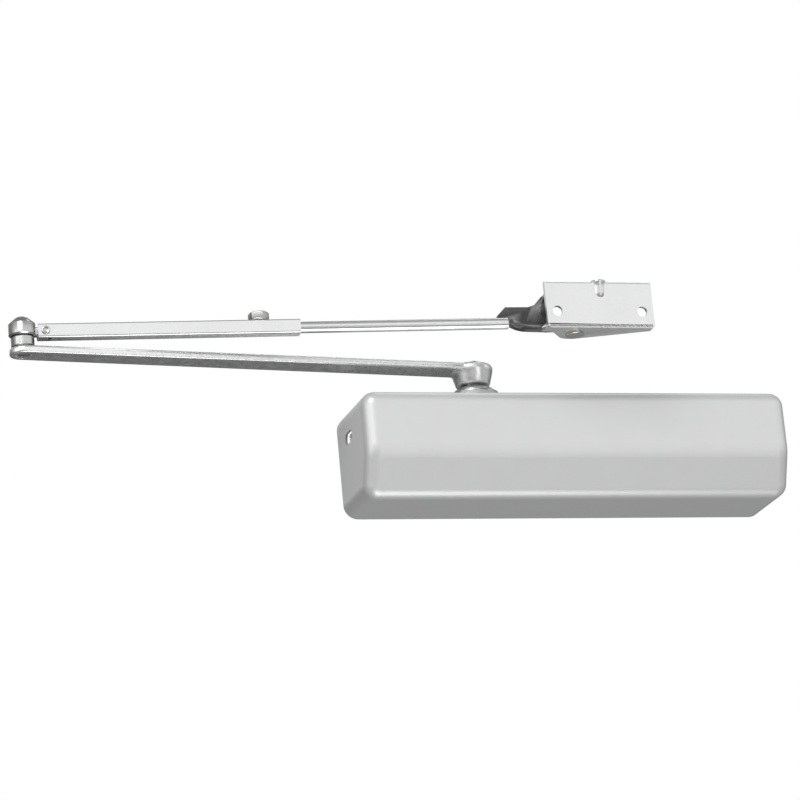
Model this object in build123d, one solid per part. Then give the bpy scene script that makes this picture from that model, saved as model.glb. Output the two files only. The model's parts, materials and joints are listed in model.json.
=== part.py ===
from build123d import *
import os
from math import acos, cos, pi, radians, sin, sqrt, tan

# Surface-mounted door closer with a rack-and-pinion body under a full cover, and a folding
# two-piece arm. Millimetres. The origin is the centre of the four body screws, on the door
# face. +X runs along the body towards the spring end, +Y goes into the door, +Z is up.

# ---- cover ----
COVER_LEFT = -155.6
COVER_RIGHT = 156.2
COVER_TOP = 37.0
COVER_BOTTOM = -36.7
COVER_DEPTH_TOP = 67.5
COVER_DEPTH_BOTTOM = 54.5
COVER_BREAK_Z = -7.0
COVER_BREAK_RADIUS = 24.0
COVER_WALL = 2.0
COVER_CORNER_RADIUS = 10.0
COVER_FRONT_RADIUS = 9.0
COVER_SLOT_LENGTH = 17.0
COVER_SLOT_WIDTH = 8.4
COVER_SCREW_Y = -25.5
COVER_SCREW_Z = 15.0

# ---- body casting ----
AXIS_X = -63.7
AXIS_Y = -33.0
PLATE_LENGTH = 280.0
PLATE_HEIGHT = 66.0
PLATE_THICKNESS = 7.0
BODY_HOLE_SPACING_X = 230.0
BODY_HOLE_SPACING_Z = 54.0
BODY_HOLE_R = 3.4
BODY_LUG_R = 6.2
BARREL_R = 21.5
BORE_R = 17.0
BARREL_LEFT = -134.0
BARREL_RIGHT = 130.0
BOSS_R = 17.5
BOSS_TOP_Z = 42.4
GLAND_R = 17.4
GLAND_NOSE_R = 11.5
GLAND_SHOULDER_Z = 43.4
GLAND_TOP_Z = 48.0
BOSS_BOTTOM_Z = -29.0
BEARING_R = 12.5
PLUG_LENGTH = 11.0
EAR_AT = 143.5
EAR_THICKNESS = 6.0
POST_R = 2.9
POST_END = 150.5

# ---- pinion and rack ----
MODULE = 1.75
PINION_TEETH = 12
PRESSURE_ANGLE = 25.0
BACKLASH = 0.30
PITCH_R = MODULE * PINION_TEETH / 2
PINION_TIP_R = PITCH_R + 0.95 * MODULE
PINION_ROOT_R = PITCH_R - 1.25 * MODULE
GEAR_HALF = 10.0
JOURNAL_R = 8.0
DRIVE_SQUARE = 11.0
RACK_TEETH = 9
RACK_FACE_HALF = 9.0

# ---- piston and spring ----
PISTON_R = 16.95
PISTON_LEFT = -121.0
PISTON_WINDOW_LEFT = -104.0
PISTON_WINDOW_RIGHT = -46.0
PISTON_RIGHT = -26.0
SPRING_R = 13.4
SPRING_WIRE_R = 2.5
SPRING_LEFT = -25.6
SPRING_RIGHT = 108.0
SPRING_TURNS = 12
SEAT_THICKNESS = 4.0

# ---- main arm ----
ARM_REACH = 327.9
ARM_SWEEP = 5.85
ARM_TOP_Z = 64.6
ARM_THICKNESS = 5.4
ARM_WIDTH_HUB = 21.8
ARM_WIDTH_TIP = 18.8
HUB_R_TOP = 14.8
HUB_R_BOTTOM = 12.0
HUB_BOTTOM_Z = 49.6
EYE_RECESS_R = 5.8
EYE_RECESS = 1.8
STUD_FOOT_LIFT = 0.4

# ---- elbow ----
COLLAR_R = 7.9
COLLAR_BOTTOM_Z = 65.5
COLLAR_TOP_Z = 71.8
STUD_R = 4.6
STUD_TOP_Z = 86.4
KNUCKLE_R = 9.2
KNUCKLE_BOTTOM_Z = 72.7
KNUCKLE_SHOULDER_Z = 81.3
KNUCKLE_TOP_Z = 84.6
KNUCKLE_TOP_R = 5.2

# ---- forearm ----
FOREARM_SWEEP = -4.89
FOREARM_REACH = 382.2
FOREARM_Z = 75.6
TUBE_SIZE = 9.9
TUBE_BORE = 8.1
TUBE_CORNER_R = 1.3
TUBE_START = 10.3
TUBE_END = 189.4
TUBE_SLOT = 9.0
PIVOT_AT = 15.4
PIVOT_R = 2.0
ROD_R = 3.97
ROD_START = 118.0
ROD_END = 335.9
CLAMP_AT = 161.6
CLAMP_HEX = 12.7

# ---- shoe ----
SHOE_SHEET = 3.0
SHOE_BEND_R = 1.4
SHOE_FRONT_Y = -116.0
SHOE_LEFT_X = -34.0
SHOE_RIGHT_X = 44.0
SHOE_BOTTOM_Z = 67.4
SHOE_TOP_Z = 99.5
SHOE_HOLE_R = 3.7
SHOE_HOLE_Z = 78.0
SHOE_HOLE_LEFT = -26.0
SHOE_HOLE_RIGHT = 35.8
RIVET_R = 4.0
LINK_SHEET = 2.8
LINK_WEB_END = -17.0
LINK_EAR_R = 9.6
RIB_X = 6.2
RIB_R = 14.0
RIB_RISE = 1.4
RIB_LENGTH = 9.8
GAP = 0.3

MID = Align.CENTER
LOW = Align.MIN


def block(x0, x1, y0, y1, z0, z1):
    """A box between two corners."""
    return Pos(x0, y0, z0) * Box(x1 - x0, y1 - y0, z1 - z0, align=(LOW, LOW, LOW))


def rod_x(r, x0, x1, y=AXIS_Y, z=0.0):
    """A round bar along X."""
    return Pos(x0, y, z) * Rot(0, 90, 0) * Cylinder(r, x1 - x0, align=(MID, MID, LOW))


def rod_y(r, y0, y1, x, z):
    """A round bar along Y."""
    return Pos(x, y0, z) * Rot(-90, 0, 0) * Cylinder(r, y1 - y0, align=(MID, MID, LOW))


def rod_z(r, z0, z1, x=AXIS_X, y=AXIS_Y):
    """A round bar along Z."""
    return Pos(x, y, z0) * Cylinder(r, z1 - z0, align=(MID, MID, LOW))


def cone_z(r0, r1, z0, z1, x=AXIS_X, y=AXIS_Y):
    """A cone frustum along Z, r0 at the bottom and r1 at the top."""
    return Pos(x, y, z0) * Cone(r0, r1, z1 - z0, align=(MID, MID, LOW))


def hex_bar(across_flats, height):
    """A hexagonal bar standing on the XY plane."""
    return extrude(RegularPolygon(across_flats / sqrt(3), 6), height)


def save(name, shape):
    """Write one named piece."""
    export_step(shape, f"parts/{name}.step")


def cover_block(inset):
    """The cover's outer shape, shrunk by inset on every face but the back."""
    left = COVER_LEFT + inset
    right = COVER_RIGHT - inset
    low = COVER_BOTTOM + inset
    high = COVER_TOP - inset
    front_top = -COVER_DEPTH_TOP + inset
    front_bottom = -COVER_DEPTH_BOTTOM + inset
    bow = (front_top, COVER_BREAK_Z)
    corners = [(0, low), (0, high), (front_top, high), bow, (front_bottom, low)]
    profile = make_face(Polyline(*corners, close=True))
    profile = fillet(profile.vertices().sort_by_distance(bow)[:1], COVER_BREAK_RADIUS)
    solid = extrude(Plane.YZ.offset(left) * profile, right - left)
    solid = fillet(solid.edges().filter_by(Axis.Y), COVER_CORNER_RADIUS - inset)
    corner_lines = solid.edges().filter_by(Axis.Y)
    rim = [e for e in solid.edges() - corner_lines if e.center().Y < -20 and not is_bow(e)]
    return fillet(rim, COVER_FRONT_RADIUS - inset)


def is_bow(edge):
    """True for the long edges where the upright front meets the bow and the slope."""
    centre = edge.center()
    inside = COVER_BOTTOM + 12 < centre.Z < COVER_TOP - 12
    return inside and edge.length > 200


def end_slot(x0, x1):
    """The obround opening in an end of the cover, long along Y."""
    reach = (COVER_SLOT_LENGTH - COVER_SLOT_WIDTH) / 2
    r = COVER_SLOT_WIDTH / 2
    slot = block(x0, x1, COVER_SCREW_Y - reach, COVER_SCREW_Y + reach,
                 COVER_SCREW_Z - r, COVER_SCREW_Z + r)
    slot += rod_x(r, x0, x1, COVER_SCREW_Y - reach, COVER_SCREW_Z)
    return slot + rod_x(r, x0, x1, COVER_SCREW_Y + reach, COVER_SCREW_Z)


def make_cover():
    """Thin cover, open at the back, notched in its top around the pinion boss."""
    shell = cover_block(0.0) - cover_block(COVER_WALL)
    notch_r = BOSS_R + 0.9
    shell -= rod_z(notch_r, 30, COVER_TOP + 1)
    shell -= block(AXIS_X - notch_r, AXIS_X + notch_r, AXIS_Y, 1, 30, COVER_TOP + 1)
    shell -= end_slot(COVER_LEFT - 1, COVER_LEFT + COVER_WALL + 1)
    return shell - end_slot(COVER_RIGHT - COVER_WALL - 1, COVER_RIGHT + 1)


def body_hole_centres():
    """The four body screw positions in X and Z."""
    return [
        (sx * BODY_HOLE_SPACING_X / 2, sz * BODY_HOLE_SPACING_Z / 2)
        for sx in (-1, 1)
        for sz in (-1, 1)
    ]


# Regulating screws: name, X, Z of each valve pocket on the front of the casting.
VALVES = (
    ("closing_valve_screw", -118.0, 15.0),
    ("latching_valve_screw", -102.0, 15.0),
    ("backcheck_valve_screw", -20.0, 15.0),
)
VALVE_MOUTH_Y = -56.0
VALVE_SEAT_Y = -44.5
VALVE_R = 3.0


def make_casting():
    """Mounting plate, barrel, pinion boss and valve pockets in one casting."""
    plate = block(-PLATE_LENGTH / 2, PLATE_LENGTH / 2, -PLATE_THICKNESS, 0,
                  -PLATE_HEIGHT / 2, PLATE_HEIGHT / 2)
    plate = fillet(plate.edges().filter_by(Axis.Y), 6)
    body = plate + rod_x(BARREL_R, BARREL_LEFT, BARREL_RIGHT)
    body += block(BARREL_LEFT, BARREL_RIGHT, AXIS_Y, -1, -12, 12)
    body += rod_z(BOSS_R, BOSS_BOTTOM_Z, BOSS_TOP_Z)
    body += block(AXIS_X - BOSS_R, AXIS_X + BOSS_R, AXIS_Y, -1, BOSS_BOTTOM_Z, 32)
    for _, x, z in VALVES:
        body += rod_y(6.0, VALVE_MOUTH_Y, AXIS_Y, x, z)
    for side in (-1, 1):
        x0, x1 = sorted((side * (PLATE_LENGTH / 2 - 8), side * EAR_AT))
        body += block(x0, x1, -PLATE_THICKNESS, 0, 6, 26)
        x0, x1 = sorted((side * (EAR_AT - EAR_THICKNESS), side * EAR_AT))
        body += block(x0, x1, -31.5, 0, 8, 22)
        x0, x1 = sorted((side * (EAR_AT - 1), side * POST_END))
        body += rod_x(POST_R, x0, x1, COVER_SCREW_Y, COVER_SCREW_Z)
    for x, z in body_hole_centres():
        body += rod_y(BODY_LUG_R, -PLATE_THICKNESS - 2, 0, x, z)
    body -= rod_x(BORE_R, BARREL_LEFT - 1, BARREL_RIGHT + 1)
    body -= rod_z(BEARING_R, BOSS_BOTTOM_Z + 3, BOSS_TOP_Z + 1)
    for x, z in body_hole_centres():
        body -= rod_y(BODY_HOLE_R, -PLATE_THICKNESS - 3, 1, x, z)
    for _, x, z in VALVES:
        body -= rod_y(VALVE_R + 0.06, VALVE_MOUTH_Y - 1, VALVE_SEAT_Y, x, z)
    for side in (-1, 1):
        x0, x1 = sorted((side * (EAR_AT - EAR_THICKNESS - 1), side * (POST_END + 1)))
        body -= rod_x(1.6, x0, x1, COVER_SCREW_Y, COVER_SCREW_Z)
    return body


def make_cover_screws():
    """The two screws that hold the cover, seen inside its end slots."""
    screws = []
    for side in (-1, 1):
        head = POST_END + 0.05
        x0, x1 = sorted((side * head, side * (head + 3.4)))
        body = rod_x(2.7, x0, x1, COVER_SCREW_Y, COVER_SCREW_Z)
        x0, x1 = sorted((side * (EAR_AT - EAR_THICKNESS + 1), side * (head + 0.5)))
        body += rod_x(1.55, x0, x1, COVER_SCREW_Y, COVER_SCREW_Z)
        tip = side * (head + 3.4)
        x0, x1 = sorted((tip - side * 1.4, tip + side))
        body -= block(x0, x1, COVER_SCREW_Y - 4, COVER_SCREW_Y + 4,
                      COVER_SCREW_Z - 0.5, COVER_SCREW_Z + 0.5)
        screws.append(body)
    return Compound(children=screws)


def make_gland():
    """Screwed gland with a bright conical nose that closes the boss around the pinion."""
    gland = cone_z(GLAND_R, GLAND_NOSE_R, GLAND_SHOULDER_Z, GLAND_TOP_Z)
    gland += rod_z(GLAND_R, BOSS_TOP_Z + 0.02, GLAND_SHOULDER_Z)
    gland += rod_z(BEARING_R - 0.02, BOSS_TOP_Z - 5.0, BOSS_TOP_Z + 0.1)
    return gland - rod_z(JOURNAL_R + 0.3, 30, GLAND_TOP_Z + 1)


def involute_point(base_r, r, centre, half_angle, side):
    """A point of an involute flank at radius r, for a tooth centred on an angle."""
    roll = acos(base_r / r) if r > base_r else 0.0
    turn = half_angle - (tan(roll) - roll)
    angle = centre + side * turn
    return (r * cos(angle), r * sin(angle))


def pinion_section():
    """Closed outline of the pinion teeth, one tooth centred on -Y."""
    base_r = PITCH_R * cos(radians(PRESSURE_ANGLE))
    pitch_roll = tan(radians(PRESSURE_ANGLE)) - radians(PRESSURE_ANGLE)
    half = (pi * MODULE / 2 - BACKLASH) / (2 * PITCH_R) + pitch_roll
    radii = [base_r + (PINION_TIP_R - base_r) * i / 5 for i in range(6)]
    points = []
    for tooth in range(PINION_TEETH):
        centre = -pi / 2 + tooth * 2 * pi / PINION_TEETH
        points.append((PINION_ROOT_R * cos(centre - half), PINION_ROOT_R * sin(centre - half)))
        points += [involute_point(base_r, r, centre, half, -1) for r in radii]
        points += [involute_point(base_r, r, centre, half, 1) for r in reversed(radii)]
        points.append((PINION_ROOT_R * cos(centre + half), PINION_ROOT_R * sin(centre + half)))
    return make_face(Polyline(*points, close=True))


def make_pinion():
    """Pinion shaft with its teeth, journals and square drive."""
    shaft = Pos(AXIS_X, AXIS_Y, -GEAR_HALF) * extrude(pinion_section(), 2 * GEAR_HALF)
    shaft += rod_z(JOURNAL_R, BOSS_BOTTOM_Z + 5, HUB_BOTTOM_Z - 0.4)
    half = DRIVE_SQUARE / 2
    shaft += block(AXIS_X - half, AXIS_X + half, AXIS_Y - half, AXIS_Y + half,
                   HUB_BOTTOM_Z - 0.5, ARM_TOP_Z - 2.5)
    return shaft - rod_z(2.55, ARM_TOP_Z - 16, ARM_TOP_Z)


def rack_teeth():
    """Straight rack teeth that face the pinion from the front."""
    pitch = pi * MODULE
    slope = tan(radians(PRESSURE_ANGLE))
    tip = 0.9 * MODULE
    root = 1.3 * MODULE
    line_y = AXIS_Y - PITCH_R
    half = (pitch / 2) / 2
    teeth = []
    for i in range(RACK_TEETH):
        x = AXIS_X + (0.5 - RACK_TEETH + i + 2) * pitch
        outline = Polyline(
            (x - half - root * slope, line_y - root),
            (x - half + tip * slope, line_y + tip),
            (x + half - tip * slope, line_y + tip),
            (x + half + root * slope, line_y - root),
            close=True,
        )
        teeth.append(Pos(0, 0, -RACK_FACE_HALF) * extrude(make_face(outline), 2 * RACK_FACE_HALF))
    return teeth


def make_piston():
    """Piston with two heads and a rack cut along the front wall of its window."""
    piston = rod_x(PISTON_R, PISTON_LEFT, PISTON_RIGHT)
    root_y = AXIS_Y - PITCH_R - 1.3 * MODULE
    piston -= block(PISTON_WINDOW_LEFT, PISTON_WINDOW_RIGHT, root_y,
                    AXIS_Y + PINION_TIP_R + 0.8, -30, 30)
    for tooth in rack_teeth():
        piston += tooth
    piston -= rod_x(9.0, PISTON_RIGHT - 12, PISTON_RIGHT + 1)
    for x in (PISTON_LEFT + 5, PISTON_RIGHT - 6):
        piston -= rod_x(PISTON_R + 1, x, x + 2.2) - rod_x(PISTON_R - 1.6, x, x + 2.2)
    return piston


def ring_x(outer, inner, x0, x1):
    """A plain ring around the barrel's axis."""
    return rod_x(outer, x0, x1) - rod_x(inner, x0 - 1, x1 + 1)


def ring_z(outer, inner, z0, z1):
    """A plain ring around the pinion's axis."""
    return rod_z(outer, z0, z1) - rod_z(inner, z0 - 1, z1 + 1)


def make_piston_seals():
    """Two sealing rings in the piston's grooves."""
    rings = []
    for x in (PISTON_LEFT + 5, PISTON_RIGHT - 6):
        rings.append(ring_x(PISTON_R, PISTON_R - 1.5, x + 0.1, x + 2.1))
    return Compound(children=rings)


def make_spring():
    """Coil spring that closes the door."""
    length = SPRING_RIGHT - SPRING_LEFT - 2 * SPRING_WIRE_R
    path = Helix(pitch=length / SPRING_TURNS, height=length, radius=SPRING_R)
    start = path @ 0
    wire = sweep(Plane(origin=start, z_dir=path % 0) * Circle(SPRING_WIRE_R), path=path)
    return Pos(SPRING_LEFT + SPRING_WIRE_R, AXIS_Y, 0) * Rot(0, 90, 0) * wire


def make_left_plug():
    """Plug that closes the barrel at the pinion end, with a hexagon socket."""
    plug = rod_x(BORE_R, BARREL_LEFT, BARREL_LEFT + PLUG_LENGTH)
    plug += rod_x(BORE_R + 2, BARREL_LEFT - 2.5, BARREL_LEFT)
    socket = Pos(BARREL_LEFT - 3.5, AXIS_Y, 0) * Rot(0, 90, 0) * hex_bar(12, 7)
    return plug - socket


def make_right_plug():
    """Plug at the spring end, bored for the adjusting screw."""
    plug = rod_x(BORE_R, BARREL_RIGHT - PLUG_LENGTH, BARREL_RIGHT)
    plug += rod_x(BORE_R + 2, BARREL_RIGHT, BARREL_RIGHT + 2.5)
    return plug - rod_x(4.06, BARREL_RIGHT - 20, BARREL_RIGHT + 5)


def make_adjusting_screw():
    """Screw that sets the spring's preload, with a hexagon head outside the plug."""
    screw = rod_x(4.0, SPRING_RIGHT - 12, BARREL_RIGHT + 3)
    screw += Pos(BARREL_RIGHT + 2.8, AXIS_Y, 0) * Rot(0, 90, 0) * hex_bar(11, 5.5)
    return screw


def make_spring_seat():
    """Keyed seat that the adjusting screw draws along the barrel."""
    x0 = SPRING_RIGHT + GAP
    seat = rod_x(BORE_R - 0.35, x0, x0 + SEAT_THICKNESS)
    seat += rod_x(9.5, x0 - 8, x0)
    return seat - rod_x(4.06, x0 - 9, x0 + SEAT_THICKNESS + 1)


def make_valve_screw(x, z):
    """Regulating screw with a needle tip and a screwdriver slot."""
    screw = rod_y(VALVE_R, VALVE_MOUTH_Y - 1.2, VALVE_SEAT_Y - 3, x, z)
    screw += rod_y(1.4, VALVE_SEAT_Y - 3.5, VALVE_SEAT_Y - GAP, x, z)
    return screw - block(x - 4, x + 4, VALVE_MOUTH_Y - 2, VALVE_MOUTH_Y + 0.4, z - 0.5, z + 0.5)


# The arms are built along local +X from their inner pivot and turned into place.
ELBOW_X = AXIS_X - ARM_REACH * cos(radians(ARM_SWEEP))
ELBOW_Y = AXIS_Y - ARM_REACH * sin(radians(ARM_SWEEP))
SHOE_PIVOT_X = ELBOW_X + FOREARM_REACH * cos(radians(FOREARM_SWEEP))
SHOE_PIVOT_Y = ELBOW_Y + FOREARM_REACH * sin(radians(FOREARM_SWEEP))


def on_main_arm(shape):
    """Place a shape built along +X from the pinion onto the main arm's line."""
    return Pos(AXIS_X, AXIS_Y, 0) * Rot(0, 0, 180 + ARM_SWEEP) * shape


def on_forearm(shape):
    """Place a shape built along +X from the elbow onto the forearm's line."""
    return Pos(ELBOW_X, ELBOW_Y, FOREARM_Z) * Rot(0, 0, FOREARM_SWEEP) * shape


def make_main_arm():
    """Forged flat bar with a tapered hub below one end and a round eye at the other."""
    low = ARM_TOP_Z - ARM_THICKNESS
    outline = Polyline(
        (0, -ARM_WIDTH_HUB / 2),
        (ARM_REACH, -ARM_WIDTH_TIP / 2),
        (ARM_REACH, ARM_WIDTH_TIP / 2),
        (0, ARM_WIDTH_HUB / 2),
        close=True,
    )
    bar = Pos(0, 0, low) * extrude(make_face(outline), ARM_THICKNESS)
    bar += rod_z(ARM_WIDTH_TIP / 2, low, ARM_TOP_Z, ARM_REACH, 0)
    bar += rod_z(HUB_R_TOP, low, ARM_TOP_Z, 0, 0)
    bar = fillet(bar.faces().sort_by(Axis.Z)[-1].outer_wire().edges(), 1.6)
    bar += cone_z(HUB_R_BOTTOM, HUB_R_TOP, HUB_BOTTOM_Z, low, 0, 0)
    half = DRIVE_SQUARE / 2 + 0.05
    square = Rot(0, 0, -ARM_SWEEP) * block(-half, half, -half, half, HUB_BOTTOM_Z - 1, ARM_TOP_Z - 2.4)
    bar -= square
    bar -= rod_z(5.6, ARM_TOP_Z - 3, ARM_TOP_Z + 1, 0, 0)
    bar -= rod_z(STUD_R + 0.1, low - 1, ARM_TOP_Z + 1, ARM_REACH, 0)
    bar -= rod_z(EYE_RECESS_R, low - 1, low + EYE_RECESS, ARM_REACH, 0)
    return on_main_arm(bar)


def make_arm_screw():
    """Screw that clamps the main arm to the pinion, with a low hexagon-socket head."""
    screw = rod_z(2.5, ARM_TOP_Z - 14, ARM_TOP_Z)
    screw += rod_z(7.4, ARM_TOP_Z + 0.3, ARM_TOP_Z + 2.0) + rod_z(3.0, ARM_TOP_Z - 0.5, ARM_TOP_Z + 1)
    socket = Pos(AXIS_X, AXIS_Y, ARM_TOP_Z + 0.8) * hex_bar(5, 3)
    return screw - socket


def make_arm_washer():
    """Spring washer set in the arm's counterbore, under the screw head."""
    return ring_z(5.4, 3.2, ARM_TOP_Z - 1.2, ARM_TOP_Z + 0.2)


def make_elbow_stud():
    """Shouldered stud riveted into the main arm's eye; its head holds the knuckle on."""
    low = ARM_TOP_Z - ARM_THICKNESS
    stud = rod_z(COLLAR_R, COLLAR_BOTTOM_Z, COLLAR_TOP_Z, ELBOW_X, ELBOW_Y)
    stud += rod_z(COLLAR_R - 1.2, ARM_TOP_Z + 0.02, COLLAR_BOTTOM_Z, ELBOW_X, ELBOW_Y)
    stud += rod_z(STUD_R, low + STUD_FOOT_LIFT, KNUCKLE_TOP_Z + 0.6, ELBOW_X, ELBOW_Y)
    crown = cone_z(KNUCKLE_TOP_R - 0.3, 2.4, KNUCKLE_TOP_Z + GAP, STUD_TOP_Z, ELBOW_X, ELBOW_Y)
    return stud + crown


def make_elbow_washer():
    """Dark plastic washer between the stud's collar and the knuckle."""
    ring = rod_z(COLLAR_R - 0.6, COLLAR_TOP_Z + 0.02, KNUCKLE_BOTTOM_Z - GAP, ELBOW_X, ELBOW_Y)
    return ring - rod_z(STUD_R + 0.1, COLLAR_TOP_Z - 1, KNUCKLE_BOTTOM_Z + 1, ELBOW_X, ELBOW_Y)


def make_elbow_knuckle():
    """Turned knuckle on the stud, with a tongue that enters the forearm tube."""
    centre = Pos(0, 0, -FOREARM_Z)
    body = rod_z(KNUCKLE_R, KNUCKLE_BOTTOM_Z, KNUCKLE_SHOULDER_Z, 0, 0)
    body = chamfer(body.edges().sort_by(Axis.Z)[:1], 0.9)
    body += cone_z(KNUCKLE_R, KNUCKLE_TOP_R, KNUCKLE_SHOULDER_Z, KNUCKLE_TOP_Z, 0, 0)
    body = centre * body
    tongue = block(KNUCKLE_R - 2, PIVOT_AT + 5, -3.1, 3.1, -2.9, 2.9)
    body += fillet(tongue.edges().filter_by(Axis.Y).sort_by(Axis.X)[-2:], 2.4)
    bottom = KNUCKLE_BOTTOM_Z - FOREARM_Z - 1
    body -= rod_z(STUD_R + 0.06, bottom, bottom + 20, 0, 0)
    body -= rod_y(PIVOT_R + 0.05, -9, 9, PIVOT_AT, 0)
    return on_forearm(body)


def make_knuckle_pin():
    """Cross pin that hinges the tube on the tongue, with a round head on each side."""
    side = TUBE_SIZE / 2
    pin = rod_y(PIVOT_R, -side - 0.1, side + 0.1, PIVOT_AT, 0)
    for y0, y1 in ((-side - 0.9, -side - 0.02), (side + 0.02, side + 0.9)):
        pin += rod_y(3.0, y0, y1, PIVOT_AT, 0)
    return on_forearm(pin)


def make_forearm_tube():
    """Square tube with a slotted hinge end and a tapped hole for the clamp screw."""
    outline = Rectangle(TUBE_SIZE, TUBE_SIZE)
    outline = fillet(outline.vertices(), TUBE_CORNER_R)
    outline -= Rectangle(TUBE_BORE, TUBE_BORE)
    tube = Pos(TUBE_START, 0, 0) * Rot(0, 90, 0) * extrude(outline, TUBE_END - TUBE_START)
    slot = 3.6
    tube -= block(TUBE_START - 1, TUBE_START + TUBE_SLOT, -slot, slot, -9, 9)
    tube -= rod_y(PIVOT_R + 0.03, -9, 9, PIVOT_AT, 0)
    tube -= rod_z(3.1, 0, 9, CLAMP_AT, 0)
    tube -= rod_z(0.9, -9, 0, TUBE_START + 14.5, 0)
    return on_forearm(tube)


def make_clamp_screw():
    """Hexagon-head screw that clamps the rod in the tube."""
    top = TUBE_SIZE / 2
    washer_face = rod_z(6.2, top + GAP, top + 1.0, CLAMP_AT, 0)
    head = Pos(CLAMP_AT, 0, top + 0.9) * Rot(0, 0, 12) * hex_bar(CLAMP_HEX, 5.2)
    crown = cone_z(9.2, 5.6, top + 3.8, top + 6.6, CLAMP_AT, 0)
    head &= crown + rod_z(9.2, top, top + 3.8, CLAMP_AT, 0)
    shank = rod_z(3.05, ROD_R + GAP, top + 1.0, CLAMP_AT, 0)
    return on_forearm(head + washer_face + shank)


def make_forearm_rod():
    """Round rod that slides in the tube and carries the shoe link."""
    rod = rod_x(ROD_R, ROD_START, ROD_END, 0, 0)
    rod = chamfer(rod.edges(), 0.8)
    return on_forearm(rod)


def make_rod_link():
    """Folded sheet link: a web behind the rod's end, a lip and two ears on the shoe's rivet."""
    low = SHOE_BOTTOM_Z + SHOE_SHEET + GAP - FOREARM_Z
    high = SHOE_TOP_Z - SHOE_SHEET - GAP - FOREARM_Z
    web_y = ROD_R - 0.02
    web_outline = Polyline(
        (-52.9, 6.8),
        (-46.6, 13.2),
        (-28.3, 13.0),
        (-20.0, high),
        (LINK_WEB_END, high),
        (LINK_WEB_END, low),
        (-29.0, low + 0.6),
        (-36.0, -2.6),
        (-46.0, 0.4),
        (-52.0, 4.2),
        close=True,
    )
    link = Pos(0, web_y + LINK_SHEET, 0) * Rot(90, 0, 0) * extrude(make_face(web_outline), LINK_SHEET)
    for z0 in (low, high - LINK_SHEET):
        ear = rod_z(LINK_EAR_R, z0, z0 + LINK_SHEET, 0, 0)
        ear += block(LINK_WEB_END - 3, 0, -LINK_EAR_R + 2, web_y + 1, z0, z0 + LINK_SHEET)
        link += ear
    lip_outline = Polyline(
        (-45.9, 2.0),
        (-40.0, -0.4),
        (-34.0, low + 2.2),
        (LINK_WEB_END - 2, low + 2.2),
        (LINK_WEB_END - 2, low),
        (-35.0, low),
        (-41.5, -2.8),
        (-45.9, -0.6),
        close=True,
    )
    link += Pos(0, web_y + 1, 0) * Rot(90, 0, 0) * extrude(make_face(lip_outline), web_y + 5.0)
    link -= rod_z(RIVET_R + 0.08, low - 1, high + 1, 0, 0)
    return on_forearm(Pos(FOREARM_REACH, 0, 0) * link)


def make_shoe():
    """Channel bracket: a drilled front plate with a lug below it and a flange above."""
    sheet = SHOE_SHEET
    plate = block(SHOE_LEFT_X, SHOE_RIGHT_X, SHOE_FRONT_Y, SHOE_FRONT_Y + sheet,
                  SHOE_BOTTOM_Z, SHOE_TOP_Z)
    lug_back = SHOE_PIVOT_Y + 12.0
    lower_outline = Polyline(
        (SHOE_LEFT_X, SHOE_FRONT_Y),
        (SHOE_RIGHT_X, SHOE_FRONT_Y),
        (SHOE_RIGHT_X, SHOE_FRONT_Y + 10.5),
        (SHOE_PIVOT_X + 5.0, lug_back - 0.6),
        (SHOE_PIVOT_X - 4.0, lug_back - 0.8),
        (SHOE_PIVOT_X - 17.0, SHOE_FRONT_Y + 14.0),
        (SHOE_LEFT_X, SHOE_FRONT_Y + 13.0),
        close=True,
    )
    upper_outline = Polyline(
        (SHOE_LEFT_X, SHOE_FRONT_Y),
        (SHOE_RIGHT_X, SHOE_FRONT_Y),
        (SHOE_RIGHT_X, SHOE_FRONT_Y + 10.5),
        (SHOE_PIVOT_X + 5.0, lug_back - 0.6),
        (SHOE_PIVOT_X - 4.0, lug_back - 0.8),
        (SHOE_PIVOT_X - 12.0, SHOE_FRONT_Y + 15.0),
        (SHOE_LEFT_X + 6.0, SHOE_FRONT_Y + sheet),
        (SHOE_LEFT_X, SHOE_FRONT_Y + sheet),
        close=True,
    )
    bracket = plate
    for z0, outline in ((SHOE_BOTTOM_Z, lower_outline), (SHOE_TOP_Z - sheet, upper_outline)):
        bracket += Pos(0, 0, z0) * extrude(make_face(outline), sheet)
        bracket += rod_z(12.0, z0, z0 + sheet, SHOE_PIVOT_X, SHOE_PIVOT_Y)
    outside = [
        e
        for e in bracket.edges().filter_by(Axis.X)
        if e.length > 60
        and abs(e.center().Y - SHOE_FRONT_Y) < 0.01
        and (abs(e.center().Z - SHOE_BOTTOM_Z) < 0.01 or abs(e.center().Z - SHOE_TOP_Z) < 0.01)
    ]
    bracket = fillet(outside, SHOE_BEND_R)
    rib_y = SHOE_FRONT_Y + RIB_R - RIB_RISE
    rib_foot = SHOE_TOP_Z - RIB_LENGTH
    rib = rod_z(RIB_R, rib_foot, SHOE_TOP_Z - 0.9, RIB_X, rib_y)
    rib += Pos(RIB_X, rib_y, rib_foot) * Sphere(RIB_R)
    rib &= block(RIB_X - 8, RIB_X + 8, SHOE_FRONT_Y - 3, SHOE_FRONT_Y + 1, 60, SHOE_TOP_Z - 0.9)
    bracket += rib
    for x in (SHOE_HOLE_LEFT, SHOE_HOLE_RIGHT):
        bracket -= rod_y(SHOE_HOLE_R, SHOE_FRONT_Y - 9, SHOE_FRONT_Y + sheet + 1, x, SHOE_HOLE_Z)
    return bracket - rod_z(RIVET_R + 0.05, 60, 105, SHOE_PIVOT_X, SHOE_PIVOT_Y)


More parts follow.
